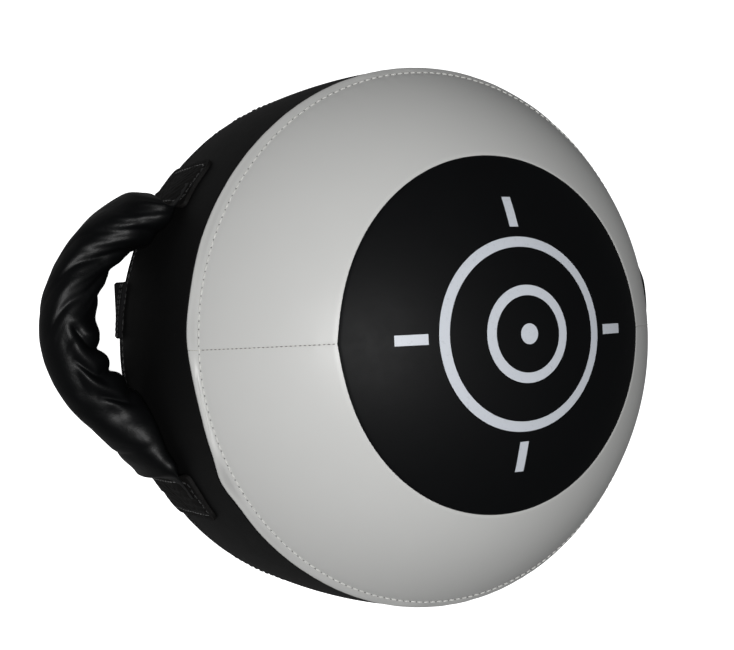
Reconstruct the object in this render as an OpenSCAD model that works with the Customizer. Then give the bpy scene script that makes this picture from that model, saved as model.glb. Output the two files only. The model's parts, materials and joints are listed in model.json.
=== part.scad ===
// Round domed punch shield: a foam drum with a domed striking face,
// a padded carrying handle on each side and a flat strap across the back.
// Millimetres. It lies on its flat back: +Z points out of the striking face,
// +Y runs from the lower to the upper half of the face, and the handles are on -X and +X.

/* [Pad] */
// Radius of the edge where the domed face meets the side wall
rim_r = 200; // [180:1:220]
// Height of that edge above the flat back
rim_z = 134; // [115:1:150]
// Largest radius of the side wall, which bellies out a little
belly_r = 206; // [203:1:212]
// Height of the widest part of the side wall
belly_z = 45; // [35:1:60]
// Radius of the sphere that the striking face is part of
dome_r = 236.5; // [230:0.5:260]
// Thickness of the synthetic leather
skin = 1.5; // [1:0.1:2]

/* [Face] */
// Radius of the black disc in the middle of the face
disc_r = 125; // [100:1:140]
// Radius of the ring of topstitching just inside the rim
topstitch_r = 195.5; // [188:0.5:197]
// Outer radius of the target printed on the disc
target_r = 66; // [40:1:90]
// Width of the printed target's rings
target_line = 7; // [4:1:10]

/* [Back] */
// Radius of the rounded edge between the back and the side
edge_r = 12; // [11:0.5:14]
// Thickness of the piping in the rear seam
piping_d = 7.2; // [5:0.1:7.6]
// Width of the strap across the back
strap_w = 42; // [30:1:50]
// Thickness of the strap across the back
strap_t = 3.8; // [2.5:0.1:4.2]
// How far the strap lies above the middle of the back
strap_y = 31; // [-40:1:40]

/* [Handles] */
// Height of the handles' centre line above the back
handle_z = 50; // [45:1:70]
// Distance from the pad's centre to the line through a handle's two sewn ends
root_x = 184; // [182:1:188]
// How far the loop's upper end is above the middle
root_y = 99; // [97:1:103]
// How far the loop's lower end is below the middle
foot_y = 86; // [84:1:90]
// Angle between the upper leg of the loop and a straight line out from the pad
upper_leg_angle = 8; // [6:1:14]
// Angle between the lower leg of the loop and a straight line out from the pad
lower_leg_angle = 46; // [44:1:50]
// Radius of the bend that joins the two legs
bend_r = 78; // [72:1:79]
// Thickness of the padded grip
grip_d = 39; // [34:1:40]
// Width of the webbing inside the handle
webbing_w = 25; // [20:1:28]

/* [Hidden] */

$fn = 96;

// Colours
black_leather = "#141517";
pale_leather = "#c9c8c4";
print_ink = "#c8cdd2";
white_thread = "#d8d6d0";
black_thread = "#202124";
webbing_black = "#2a2b2d";
firm_foam = "#5a5d61";
soft_foam = "#e3dcc6";

// The dome's centre, from the rim that it passes through
dome_z = rim_z + 1.2 - sqrt(dome_r * dome_r - rim_r * rim_r);
// Gap left between pieces that lie against each other
fit = 0.2;
// Half the gap between two panels that a seam joins
seam_gap = 0.4;
thread_r = 0.5;
// The side wall's radius falls with the square of the height from its widest part
wall_fall = (belly_r - rim_r) / pow(rim_z - belly_z, 2);
function wall_r(z) = belly_r - wall_fall * pow(z - belly_z, 2);
// Heights from z0 to z1 in even steps, for the curved wall
function heights(z0, z1, steps) = [for (i = [0 : steps]) z0 + (z1 - z0) * i / steps];
function height_on_dome(r, lift) = dome_z + sqrt(pow(dome_r + lift, 2) - r * r);

// Foam layers, from the back to the face
wall_z0 = edge_r + 1;
piping_z = edge_r - 3;
seam_z = wall_z0 + 3;
back_foam_top = 24;
core_foam_top = 96;
impact_foam_top = 128;
foam_inset = skin + fit;
// The strap lies in a shallow channel in the soft back
channel_w = strap_w + 4;
channel_depth = strap_t + 2;

// Tabs that hold the handles, as angles away from the handle side
upper_tab_angles = [29, 41];
lower_tab_angles = [-36.5, -25];
tab_z0 = handle_z - 38;
tab_z1 = handle_z + 38;
tab_t = 4.6;
webbing_t = 2.4;
tab_hem = 4;
patch_t = 1.2;
patch_z0 = tab_z0 + 2;
strap_end_angles = [asin((strap_y - strap_w / 2) / belly_r), asin((strap_y + strap_w / 2) / belly_r)];
strap_end_top = 18;

// The loop's centre line: an upper leg, a round bend and a lower leg
first_heading = 180 + upper_leg_angle;
turn = 180 - upper_leg_angle - lower_leg_angle;
leg_scale = (root_y + foot_y) / sin(turn);
tangent = bend_r * tan(turn / 2);
upper_leg = leg_scale * cos(lower_leg_angle) - tangent;
lower_leg = leg_scale * cos(upper_leg_angle) - tangent;
bend_length = bend_r * turn * PI / 180;
loop_length = upper_leg + bend_length + lower_leg;
// The middle of the bend, for the left loop
bend_x = -root_x + upper_leg * cos(first_heading) - bend_r * sin(first_heading);
bend_y = root_y + upper_leg * sin(first_heading) + bend_r * cos(first_heading);
// The grip narrows towards its ends, to clear the wall: [distance along the loop, radius]
grip_profile = [
    [6, 5], [28, grip_d / 2],
    [loop_length - 73, grip_d / 2], [loop_length - 60, 17.2], [loop_length - 46, 11.2], [loop_length - 30, 4.8]
];
grip_start = grip_profile[0][0];
grip_end = grip_profile[len(grip_profile) - 1][0];
// Facets of the loop: steps along it, and sides round the grip
loop_steps = 26;
grip_sides = 16;
// Where the webbing inside the grip starts and ends
ribbon_start = 30;
ribbon_end = loop_length - 66;

// ---------- building blocks ----------

// A band of the side wall between two heights, offset outwards from its surface
module wall_band(inner, outer, z0, z1, from, to, steps = 4) {
    up = heights(z0, z1, steps);
    down = heights(z1, z0, steps);
    rotate([0, 0, from])
        rotate_extrude(angle = to - from)
            polygon(concat(
                [for (z = up) [wall_r(z) + outer, z]],
                [for (z = down) [wall_r(z) + inner, z]]
            ));
}

// The same band given as angles away from the left side, positive upwards
module left_band(inner, outer, z0, z1, angles, steps = 4) {
    wall_band(inner, outer, z0, z1, 180 - angles[1], 180 - angles[0], steps);
}

// Everything inside the side wall between two heights
module drum(inset, z0, z1, steps) {
    rotate_extrude()
        polygon(concat(
            [[0, z0]],
            [for (z = heights(z0, z1, steps)) [wall_r(z) - inset, z]],
            [[0, z1]]
        ));
}

// A thin layer of the dome between two lifts from its surface
module dome_layer(low, high) {
    translate([0, 0, dome_z])
        difference() {
            sphere(dome_r + high);
            sphere(dome_r + low);
        }
}

module above_disc(r0, r1) {
    translate([0, 0, rim_z - 4])
        difference() {
            cylinder(r = r1, h = 200);
            if (r0 > 0)
                translate([0, 0, -1])
                    cylinder(r = r0, h = 202);
        }
}

// A thread lying round the dome
module dome_thread(r, lift, radius) {
    rotate_extrude()
        translate([r, height_on_dome(r, lift)])
            circle(radius, $fn = 24);
}

module face_ring() {
    intersection() {
        dome_layer(-skin, 0);
        above_disc(disc_r + seam_gap, rim_r - 0.4);
    }
}

module face_half(side) {
    intersection() {
        face_ring();
        translate([-300, side > 0 ? seam_gap : -300 - seam_gap, 0])
            cube([600, 300, 300]);
    }
}

// A thread lying in the seam between the two halves of the face
module face_seam(side) {
    seam_r = dome_r - skin / 2;
    from = asin((disc_r + 1) / seam_r);
    to = asin((rim_r - 2) / seam_r);
    translate([0, 0, dome_z])
        mirror([side < 0 ? 1 : 0, 0, 0])
            rotate([90, 0, 0])
                rotate([0, 0, 90 - to])
                    rotate_extrude(angle = to - from)
                        translate([seam_r, 0])
                            circle(0.35, $fn = 24);
}

// ---------- the cover ----------

module centre_disc() {
    color(black_leather)
        intersection() {
            dome_layer(-skin, 0);
            above_disc(0, disc_r - seam_gap);
        }
}

module face_upper() {
    color(pale_leather) face_half(1);
}

module face_lower() {
    color(pale_leather) face_half(-1);
}

// A plain target: two rings, a dot and four bars
module target_outline() {
    inner_r = target_r / 2;
    difference() {
        circle(target_r);
        circle(target_r - target_line);
    }
    difference() {
        circle(inner_r);
        circle(inner_r - target_line);
    }
    circle(target_line);
    for (a = [0 : 90 : 270])
        rotate([0, 0, a])
            translate([target_r + target_line, -target_line / 2])
                square([3 * target_line, target_line]);
}

module printed_target() {
    color(print_ink)
        intersection() {
            dome_layer(0.05, 0.3);
            translate([0, 0, rim_z])
                linear_extrude(200)
                    target_outline();
        }
}

module rim_topstitch() {
    color(white_thread) dome_thread(topstitch_r, 0.6, thread_r);
}

module disc_seam_thread() {
    color(black_thread) dome_thread(disc_r, -skin / 2, 0.35);
}

module left_face_seam() {
    color(white_thread) face_seam(-1);
}

module right_face_seam() {
    color(white_thread) face_seam(1);
}

module side_wall() {
    color(black_leather) wall_band(-skin, 0, wall_z0, rim_z - 1.3, 0, 360, 12);
}

// The rounded shell of the back, before the strap's channel
module back_dish(inset) {
    r = edge_r - inset;
    rotate_extrude()
        union() {
            translate([0, inset])
                square([rim_r - edge_r, 60]);
            translate([rim_r - edge_r, edge_r])
                intersection() {
                    circle(r);
                    translate([0, -r])
                        square([r, r]);
                }
        }
}

module channel(extra) {
    translate([-300, strap_y - channel_w / 2 - extra, -1])
        cube([600, channel_w + 2 * extra, channel_depth + 1 + extra]);
}

module back_panel() {
    color(black_leather)
        difference() {
            union() {
                difference() {
                    back_dish(0);
                    back_dish(skin);
                    translate([0, 0, piping_z])
                        cylinder(r = 300, h = 100);
                }
                intersection() {
                    channel(skin);
                    cylinder(r = rim_r - edge_r, h = 60);
                }
            }
            channel(0);
            piping(fit);
        }
}

// The cord round the back's edge, made thicker by extra all round
module piping(extra) {
    rotate_extrude()
        translate([rim_r + 1.6, piping_z])
            circle(piping_d / 2 + extra, $fn = 32);
}

module rear_piping() {
    color(black_leather) piping(0);
}

// The seam runs out of sight under the tabs and the strap's ends
module rear_seam_thread() {
    color(black_thread)
        difference() {
            rotate_extrude()
                translate([wall_r(seam_z) + 0.6, seam_z])
                    circle(thread_r, $fn = 24);
            for (side = [0, 1])
                mirror([side, 0, 0])
                    for (angles = [upper_tab_angles, lower_tab_angles, strap_end_angles])
                        left_band(-1, 3, seam_z - 2, seam_z + 2, [angles[0] - 0.1, angles[1] + 0.1], 1);
        }
}

// ---------- the filling ----------

module handle_patches_space() {
    for (side = [0, 1])
        mirror([side, 0, 0]) {
            left_band(-foam_inset - patch_t - fit, 1, tab_z0 - fit, tab_z1 + fit,
                      [upper_tab_angles[0] - 0.1, upper_tab_angles[1] + 0.1]);
            left_band(-foam_inset - patch_t - fit, 1, tab_z0 - fit, tab_z1 + fit,
                      [lower_tab_angles[0] - 0.1, lower_tab_angles[1] + 0.1]);
        }
}

module dome_foam() {
    color(soft_foam)
        intersection() {
            translate([0, 0, dome_z])
                sphere(dome_r - foam_inset);
            translate([0, 0, impact_foam_top + fit])
                cylinder(r = wall_r(impact_foam_top) - foam_inset - 0.6, h = 200);
        }
}

module impact_foam() {
    color(firm_foam) drum(foam_inset, core_foam_top + fit, impact_foam_top, 4);
}

module core_foam() {
    color(soft_foam)
        difference() {
            drum(foam_inset, back_foam_top + fit, core_foam_top, 6);
            handle_patches_space();
        }
}

module back_foam() {
    color(firm_foam)
        difference() {
            union() {
                drum(foam_inset + piping_d, skin + fit, back_foam_top, 3);
                drum(foam_inset, wall_z0 + 4, back_foam_top, 2);
            }
            rotate_extrude()
                difference() {
                    translate([rim_r - edge_r, -1])
                        square([edge_r + 20, edge_r + 1]);
                    translate([rim_r - edge_r, edge_r])
                        circle(edge_r - skin - fit);
                }
            channel(skin + fit);
            handle_patches_space();
        }
}

// ---------- the strap across the back ----------

module rear_strap() {
    end_r = wall_r(10) + fit;
    color(webbing_black) {
        intersection() {
            translate([-300, strap_y - strap_w / 2, fit])
                cube([600, strap_w, strap_t]);
            cylinder(r = end_r + 2, h = 20);
        }
        for (side = [0, 1])
            mirror([side, 0, 0])
                left_band(fit + 0.1, 2.6, fit, strap_end_top, strap_end_angles, 3);
    }
}

module strap_stitching() {
    inset = 1.2;
    low = [strap_end_angles[0] + inset, strap_end_angles[1] - inset];
    color(black_thread)
        for (side = [0, 1], z = [strap_end_top - 9, strap_end_top - 3])
            mirror([side, 0, 0])
                left_band(2.7, 3.3, z, z + 0.9, low, 1);
}

// ---------- the handles' fixed ends ----------

module tab(angles) {
    // The pocket that the webbing's end is sewn into opens towards the loop
    pocket = angles[0] > 0 ? [angles[0] - 1, angles[1] - 2.5] : [angles[0] + 2.5, angles[1] + 1];
    difference() {
        left_band(fit, tab_t, tab_z0, tab_z1, angles);
        left_band(0, webbing_t + 2 * fit, handle_z - webbing_w / 2 - fit, handle_z + webbing_w / 2 + fit, pocket, 2);
    }
}

module tab_thread(angles) {
    hem = tab_hem / belly_r * 57.3;
    line = 1 / belly_r * 57.3;
    difference() {
        left_band(tab_t + 0.1, tab_t + 0.7, tab_z0 + tab_hem, tab_z1 - tab_hem, [angles[0] + hem, angles[1] - hem]);
        left_band(tab_t, tab_t + 1, tab_z0 + tab_hem + 1, tab_z1 - tab_hem - 1,
                  [angles[0] + hem + line, angles[1] - hem - line]);
    }
}

module webbing_end(angles) {
    reach = angles[0] > 0 ? [angles[0] + 0.2, angles[1] - 3] : [angles[0] + 3, angles[1] - 0.2];
    left_band(fit, webbing_t + fit, handle_z - webbing_w / 2, handle_z + webbing_w / 2, reach, 2);
}

module wall_patch(angles) {
    left_band(-skin - fit - patch_t, -skin - fit, patch_z0, tab_z1, angles);
}

module left_upper_tab() {
    color(black_leather) tab(upper_tab_angles);
}

module left_lower_tab() {
    color(black_leather) tab(lower_tab_angles);
}

module right_upper_tab() {
    color(black_leather) mirror([1, 0, 0]) tab(upper_tab_angles);
}

module right_lower_tab() {
    color(black_leather) mirror([1, 0, 0]) tab(lower_tab_angles);
}

module left_tab_stitching() {
    color(black_thread) {
        tab_thread(upper_tab_angles);
        tab_thread(lower_tab_angles);
    }
}

module right_tab_stitching() {
    mirror([1, 0, 0]) left_tab_stitching();
}

module left_webbing_ends() {
    color(webbing_black) {
        webbing_end(upper_tab_angles);
        webbing_end(lower_tab_angles);
    }
}

module right_webbing_ends() {
    mirror([1, 0, 0]) left_webbing_ends();
}

module left_wall_patches() {
    color(webbing_black) {
        wall_patch(upper_tab_angles);
        wall_patch(lower_tab_angles);
    }
}

module right_wall_patches() {
    mirror([1, 0, 0]) left_wall_patches();
}

// ---------- the loops ----------

// A place on the left loop's centre line: [x, y, heading]
function leg_place(from_y, d, way, heading) = [-root_x + d * cos(way), from_y + d * sin(way), heading];
function bend_place(heading) = [bend_x + bend_r * sin(heading), bend_y - bend_r * cos(heading), heading];
function loop_place(s) =
    s < upper_leg ? leg_place(root_y, s, first_heading, first_heading)
    : s < upper_leg + bend_length ? bend_place(first_heading + turn * (s - upper_leg) / bend_length)
    : leg_place(-foot_y, loop_length - s, 180 - lower_leg_angle, first_heading + turn);

// Points on a circle round the centre line
function ring(place, r) = [
    for (j = [0 : grip_sides - 1])
        let (a = 360 * j / grip_sides, side = place[2] - 90)
        [place[0] + r * cos(a) * cos(side), place[1] + r * cos(a) * sin(side), handle_z + r * sin(a)]
];

// A closed solid round the centre line, a given depth inside the grip's surface
module loop_solid(depth) {
    start = grip_start + depth;
    length = grip_end - depth - start;
    n = grip_sides;
    last = loop_steps;
    polyhedron(
        points = [
            for (i = [0 : last])
                let (s = start + length * i / last)
                each ring(loop_place(s), lookup(s, grip_profile) - depth)
        ],
        faces = concat(
            [[for (j = [n - 1 : -1 : 0]) j]],
            [for (i = [0 : last - 1], j = [0 : n - 1])
                [i * n + j, i * n + (j + 1) % n, (i + 1) * n + (j + 1) % n, (i + 1) * n + j]],
            [[for (j = [0 : n - 1]) last * n + j]]
        ),
        convexity = 6
    );
}

function beside(place, gap) = [place[0] + gap * cos(place[2] - 90), place[1] + gap * sin(place[2] - 90)];

// The flat webbing that follows the same centre line
module loop_ribbon(thick, wide, extra) {
    start = ribbon_start - extra;
    length = ribbon_end + extra - start;
    line = [for (i = [0 : loop_steps]) loop_place(start + length * i / loop_steps)];
    translate([0, 0, handle_z - wide / 2])
        linear_extrude(wide)
            polygon(concat(
                [for (place = line) beside(place, thick / 2)],
                [for (i = [loop_steps : -1 : 0]) beside(line[i], -thick / 2)]
            ));
}

module grip_sleeve() {
    difference() {
        loop_solid(0);
        loop_solid(skin);
    }
}

module grip_foam() {
    difference() {
        loop_solid(skin + 0.1);
        loop_ribbon(webbing_t + 2 * fit, webbing_w + 2 * fit, fit);
    }
}

module left_grip_sleeve() {
    color(black_leather) grip_sleeve();
}

module left_grip_foam() {
    color(soft_foam) grip_foam();
}

module left_webbing() {
    color(webbing_black) loop_ribbon(webbing_t, webbing_w, 0);
}

module right_grip_sleeve() {
    mirror([1, 0, 0]) left_grip_sleeve();
}

module right_grip_foam() {
    mirror([1, 0, 0]) left_grip_foam();
}

module right_webbing() {
    mirror([1, 0, 0]) left_webbing();
}

centre_disc();
face_upper();
face_lower();
printed_target();
rim_topstitch();
disc_seam_thread();
left_face_seam();
right_face_seam();
side_wall();
back_panel();
rear_piping();
rear_seam_thread();
dome_foam();
impact_foam();
core_foam();
back_foam();
rear_strap();
strap_stitching();
left_upper_tab();
left_lower_tab();
right_upper_tab();
right_lower_tab();
left_tab_stitching();
right_tab_stitching();
left_webbing_ends();
right_webbing_ends();
left_wall_patches();
right_wall_patches();
left_grip_sleeve();
left_grip_foam();
left_webbing();
right_grip_sleeve();
right_grip_foam();
right_webbing();
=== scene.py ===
# %% [markdown]
# # A round punch shield
# The pad is a foam drum with a domed striking face. Two pale half-rings and a black disc make the
# face, a black wall goes round the side, and a soft padded handle is sewn on at the left and the
# right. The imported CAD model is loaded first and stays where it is. Every place below is worked out
# from it, so that the leather fits the foam inside.

# %% Load the frame
import json
import math
import bmesh
import bpy
import numpy as np
from mathutils import Matrix, Vector


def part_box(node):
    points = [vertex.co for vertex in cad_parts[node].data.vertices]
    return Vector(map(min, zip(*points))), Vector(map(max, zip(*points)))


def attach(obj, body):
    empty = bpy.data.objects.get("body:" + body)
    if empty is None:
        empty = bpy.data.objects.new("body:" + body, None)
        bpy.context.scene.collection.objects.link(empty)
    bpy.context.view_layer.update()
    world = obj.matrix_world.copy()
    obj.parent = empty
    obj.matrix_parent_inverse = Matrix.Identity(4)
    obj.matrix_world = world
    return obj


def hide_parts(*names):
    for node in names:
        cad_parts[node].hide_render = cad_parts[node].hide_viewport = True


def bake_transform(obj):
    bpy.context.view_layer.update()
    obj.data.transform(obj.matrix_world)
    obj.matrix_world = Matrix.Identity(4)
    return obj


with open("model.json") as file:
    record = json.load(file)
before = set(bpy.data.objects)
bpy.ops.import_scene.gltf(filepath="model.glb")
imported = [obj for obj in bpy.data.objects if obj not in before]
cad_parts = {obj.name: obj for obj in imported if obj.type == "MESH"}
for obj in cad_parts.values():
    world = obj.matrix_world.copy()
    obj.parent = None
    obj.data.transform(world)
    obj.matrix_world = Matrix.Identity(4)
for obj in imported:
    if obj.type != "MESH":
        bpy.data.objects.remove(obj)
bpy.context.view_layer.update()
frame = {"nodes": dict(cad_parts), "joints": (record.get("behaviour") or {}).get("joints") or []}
PAD, LEFT, RIGHT = "pad", "left_handle", "right_handle"

# %% [markdown]
# ## Sizes taken from the frame
# The dome is part of a sphere. Its top and its rim say how large that sphere is: with a rise h over a
# rim of radius r, the sphere's radius is (r*r + h*h) / 2h. The side wall bellies out a little, and its
# radius falls with the square of the height from its widest part. The CAD leaves a small gap at each
# seam, which the leather closes.

# %% Read the sizes
SKIN, SEAM_GAP, WALL_GAP = 0.0015, 0.0004, 0.0013
SHOULDER, THREAD_R = 0.0012, 0.0005
apex_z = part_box("centre_disc")[1].z
disc_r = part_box("centre_disc")[1].x + SEAM_GAP
rim_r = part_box("face_upper")[1].x + SEAM_GAP
rim_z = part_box("side_wall")[1].z + WALL_GAP
wall_z0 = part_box("side_wall")[0].z
belly_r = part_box("side_wall")[1].x
stitch_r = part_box("rim_topstitch")[1].x - THREAD_R
BELLY_Z = 0.045
rise = apex_z - (rim_z + SHOULDER)
dome_r = (rim_r ** 2 + rise ** 2) / (2 * rise)
dome_z = apex_z - dome_r
left_joint = next(j for j in frame["joints"] if j["child"] == LEFT)
root_x, handle_z = -left_joint["pos_m"][0], left_joint["pos_m"][2]


def wall_radius(z):
    """The side wall's radius at a height."""
    fall = (belly_r - rim_r) / (rim_z - BELLY_Z) ** 2
    return belly_r - fall * (z - BELLY_Z) ** 2


def dome_angle(r):
    """The angle away from the pad's axis where the dome has this radius."""
    return math.asin(r / dome_r)


print(f"dome radius {dome_r:.4f}, centre height {dome_z:.4f}, rim radius {rim_r:.4f}")

# %% [markdown]
# ## The camera and the light
# The pad lies on its flat back and is seen from above its left side, so the handle and the wall show.
# One small bright light stands behind the camera, so its highlight falls where the dome faces the
# camera, left of the middle. A wide weak light fills the shadows, and the world adds very little, which
# keeps the black leather black. Only the camera sees the floor and the world as white.

# %% Camera
CAMERA_PLACE = Vector((-0.5082, 0.0132, 0.9191))
CAMERA_AIM = Vector((-0.0421, 0.0110, 0.1000))
CAMERA_UP = Vector((0.0441, 0.9988, 0.0224))
backwards = (CAMERA_PLACE - CAMERA_AIM).normalized()
rightwards = CAMERA_UP.cross(backwards).normalized()
upwards = backwards.cross(rightwards)
camera_data = bpy.data.cameras.new("camera")
camera_data.sensor_width = 36.0
camera_data.lens = 61.3
camera = bpy.data.objects.new("camera", camera_data)
camera_axes = Matrix((rightwards, upwards, backwards)).transposed().to_4x4()
camera.matrix_world = Matrix.Translation(CAMERA_PLACE) @ camera_axes
bpy.context.scene.collection.objects.link(camera)
bpy.context.scene.camera = camera
bpy.context.scene.view_settings.view_transform = "Standard"
print("camera at", tuple(CAMERA_PLACE))


# %% Lights and floor
def soft_light(name, direction, distance, size, power):
    """A square light that looks at the pad from a direction."""
    data = bpy.data.lights.new(name, "AREA")
    data.size = size
    data.energy = power
    light = bpy.data.objects.new(name, data)
    aim = Vector((0, 0, 0.12))
    light.location = aim + Vector(direction).normalized() * distance
    light.rotation_euler = Vector(direction).to_track_quat("Z", "Y").to_euler()
    bpy.context.scene.collection.objects.link(light)
    return light


soft_light("key_light", (-0.46, -0.02, 0.88), distance=1.65, size=0.20, power=20.8)
soft_light("fill_light", (0.15, -0.26, 0.95), distance=1.9, size=1.4, power=2.2)


def white_to_camera(tree, shader, seen):
    """Shows one shader to the camera and another one to the light that bounces round the pad."""
    ray = tree.nodes.new("ShaderNodeLightPath")
    choice = tree.nodes.new("ShaderNodeMixShader")
    tree.links.new(ray.outputs["Is Camera Ray"], choice.inputs["Fac"])
    tree.links.new(shader.outputs[0], choice.inputs[1])
    tree.links.new(seen.outputs[0], choice.inputs[2])
    return choice


world = bpy.data.worlds.new("studio")
world.use_nodes = True
dim = world.node_tree.nodes["Background"]
dim.inputs["Color"].default_value = (0.90, 0.95, 1.0, 1)
dim.inputs["Strength"].default_value = 0.045
paper = world.node_tree.nodes.new("ShaderNodeBackground")
paper.inputs["Color"].default_value = (1, 1, 1, 1)
backdrop = white_to_camera(world.node_tree, dim, paper)
world.node_tree.links.new(backdrop.outputs[0], world.node_tree.nodes["World Output"].inputs["Surface"])
bpy.context.scene.world = world

FLOOR_HALF = 6.0
floor_mesh = bpy.data.meshes.new("floor")
corners = [(-1, -1), (1, -1), (1, 1), (-1, 1)]
floor_mesh.from_pydata([(x * FLOOR_HALF, y * FLOOR_HALF, 0) for x, y in corners], [], [(0, 1, 2, 3)])
floor = bpy.data.objects.new("floor", floor_mesh)
bpy.context.scene.collection.objects.link(floor)
print("two lights, a white backdrop and a floor")

# %% [markdown]
# ## Finishes
# Coated leather has a fine pebble grain, a slightly uneven gloss and faint colour changes from
# handling. A texture image could show that, but it would need unwrapping and would blur close up. So
# each finish is a small node tree on Object coordinates, and its scale is the same in millimetres on
# every piece. Fixed numbers go straight on the shader's own sockets.


# %% Material helpers
def add_node(tree, kind, **settings):
    """A node with some of its settings and inputs filled in. Spaces in input names are written _."""
    node = tree.nodes.new(kind)
    for name, value in settings.items():
        if hasattr(node, name):
            setattr(node, name, value)
        else:
            node.inputs[name.replace("_", " ")].default_value = value
    return node


def new_finish(name):
    """A material with an empty Principled shader, and its tree."""
    material = bpy.data.materials.new(name)
    material.use_nodes = True
    tree = material.node_tree
    return material, tree, tree.nodes["Principled BSDF"], tree.nodes.new("ShaderNodeTexCoord")


def texture(tree, place, kind, **settings):
    """A texture node of some kind, such as Noise, that reads Object coordinates."""
    node = add_node(tree, "ShaderNodeTex" + kind, **settings)
    tree.links.new(place.outputs["Object"], node.inputs["Vector"])
    return node


def shade(colour, factor):
    """The colour made darker or lighter by a factor."""
    return [c * factor for c in colour]


def colour_by(tree, value, shader, low, high, start=0.0, end=1.0):
    """Colours the shader by a value: low up to start, high from end on, and a blend between them."""
    tone = tree.nodes.new("ShaderNodeValToRGB")
    first, last = tone.color_ramp.elements
    first.position, first.color = start, (*low, 1)
    last.position, last.color = end, (*high, 1)
    tree.links.new(value, tone.inputs["Fac"])
    tree.links.new(tone.outputs["Color"], shader.inputs["Base Color"])


def roughen_by(tree, value, shader, low, high):
    """Lets a value make the gloss uneven, between two roughnesses."""
    gloss = tree.nodes.new("ShaderNodeMapRange")
    gloss.inputs["To Min"].default_value = low
    gloss.inputs["To Max"].default_value = high
    tree.links.new(value, gloss.inputs["Value"])
    tree.links.new(gloss.outputs["Result"], shader.inputs["Roughness"])


def bump_by(tree, value, shader, strength, distance):
    """Lets a value raise the surface in the shading, on top of any bump that is there already."""
    bump = add_node(tree, "ShaderNodeBump", Strength=strength, Distance=distance)
    tree.links.new(value, bump.inputs["Height"])
    for link in shader.inputs["Normal"].links:
        tree.links.new(link.from_socket, bump.inputs["Normal"])
    tree.links.new(bump.outputs["Normal"], shader.inputs["Normal"])


# %% One function for each kind of finish
PEBBLE_SCALE = 1400.0


def leather(name, colour, rough, grain=0.12, mottling=0.08, crease=0.0, shine=0.5):
    """Coated synthetic leather: mottled colour, uneven gloss and a pebble grain in the bump."""
    material, tree, shader, place = new_finish(name)
    shader.inputs["Specular IOR Level"].default_value = shine
    patches = texture(tree, place, "Noise", Scale=9.0, Detail=4.0, Roughness=0.6)
    dark, light = shade(colour, 1 - mottling), shade(colour, 1 + mottling)
    colour_by(tree, patches.outputs["Fac"], shader, dark, light, start=0.3, end=0.72)
    scuffs = texture(tree, place, "Noise", Scale=70.0, Detail=6.0, Roughness=0.7)
    roughen_by(tree, scuffs.outputs["Fac"], shader, rough - 0.06, rough + 0.08)
    pebbles = texture(tree, place, "Voronoi", Scale=PEBBLE_SCALE)
    fine = texture(tree, place, "Noise", Scale=PEBBLE_SCALE * 2.2, Detail=3.0, Roughness=0.6)
    height = add_node(tree, "ShaderNodeMath", operation="ADD")
    tree.links.new(pebbles.outputs["Distance"], height.inputs[0])
    tree.links.new(fine.outputs["Fac"], height.inputs[1])
    bump_by(tree, height.outputs["Value"], shader, strength=grain, distance=0.00025)
    if crease:
        folds = texture(tree, place, "Noise", Scale=130.0, Detail=5.0, Roughness=0.55, Distortion=0.8)
        bump_by(tree, folds.outputs["Fac"], shader, strength=crease, distance=0.0012)
    return material


def twisted_thread(name, colour):
    """Sewing thread: dull, with a fine twist across it and painted shade in the twist's grooves."""
    material, tree, shader, place = new_finish(name)
    shader.inputs["Roughness"].default_value = 0.62
    shader.inputs["Sheen Weight"].default_value = 0.3
    twist = texture(tree, place, "Wave", Scale=900.0, Distortion=1.5, bands_direction="DIAGONAL")
    # Painted shade: the colour is darker where the twist's bump is low
    colour_by(tree, twist.outputs["Fac"], shader, shade(colour, 0.72), colour)
    bump_by(tree, twist.outputs["Fac"], shader, strength=0.5, distance=0.0002)
    return material


def woven_webbing(name, colour):
    """Flat webbing: two crossed rows of ribs, with painted shade in the gaps and painted light on the rib
    tops.
    """
    material, tree, shader, place = new_finish(name)
    shader.inputs["Roughness"].default_value = 0.78
    shader.inputs["Specular IOR Level"].default_value = 0.15
    weft = texture(tree, place, "Wave", Scale=260.0, Distortion=0.4, bands_direction="X")
    warp = texture(tree, place, "Wave", Scale=420.0, Distortion=0.4, bands_direction="Y")
    weave = add_node(tree, "ShaderNodeMath", operation="MULTIPLY")
    for ribs, socket in ((weft, 0), (warp, 1)):
        tree.links.new(ribs.outputs["Fac"], weave.inputs[socket])
    # Painted shade in the gaps between the ribs and painted light on their tops, following the bump
    colour_by(tree, weave.outputs["Value"], shader, shade(colour, 0.55), shade(colour, 1.5))
    bump_by(tree, weave.outputs["Value"], shader, strength=0.7, distance=0.0005)
    return material


def foam(name, colour, cell):
    """Cut foam: open cells as small pits, with painted shade that darkens their insides."""
    material, tree, shader, place = new_finish(name)
    shader.inputs["Roughness"].default_value = 0.9
    cells = texture(tree, place, "Voronoi", Scale=cell)
    # Painted shade: the colour is darker in the pits, where the bump is low
    colour_by(tree, cells.outputs["Distance"], shader, shade(colour, 0.6), colour, end=0.45)
    bump_by(tree, cells.outputs["Distance"], shader, strength=0.6, distance=0.0008)
    return material


def screen_ink(name, colour):
    """Printed ink: a thin even film with a few pinholes in its gloss."""
    material, tree, shader, place = new_finish(name)
    specks = texture(tree, place, "Noise", Scale=420.0, Detail=4.0, Roughness=0.7)
    colour_by(tree, specks.outputs["Fac"], shader, shade(colour, 0.8), colour, start=0.28, end=0.42)
    roughen_by(tree, specks.outputs["Fac"], shader, 0.38, 0.56)
    return material


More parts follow.
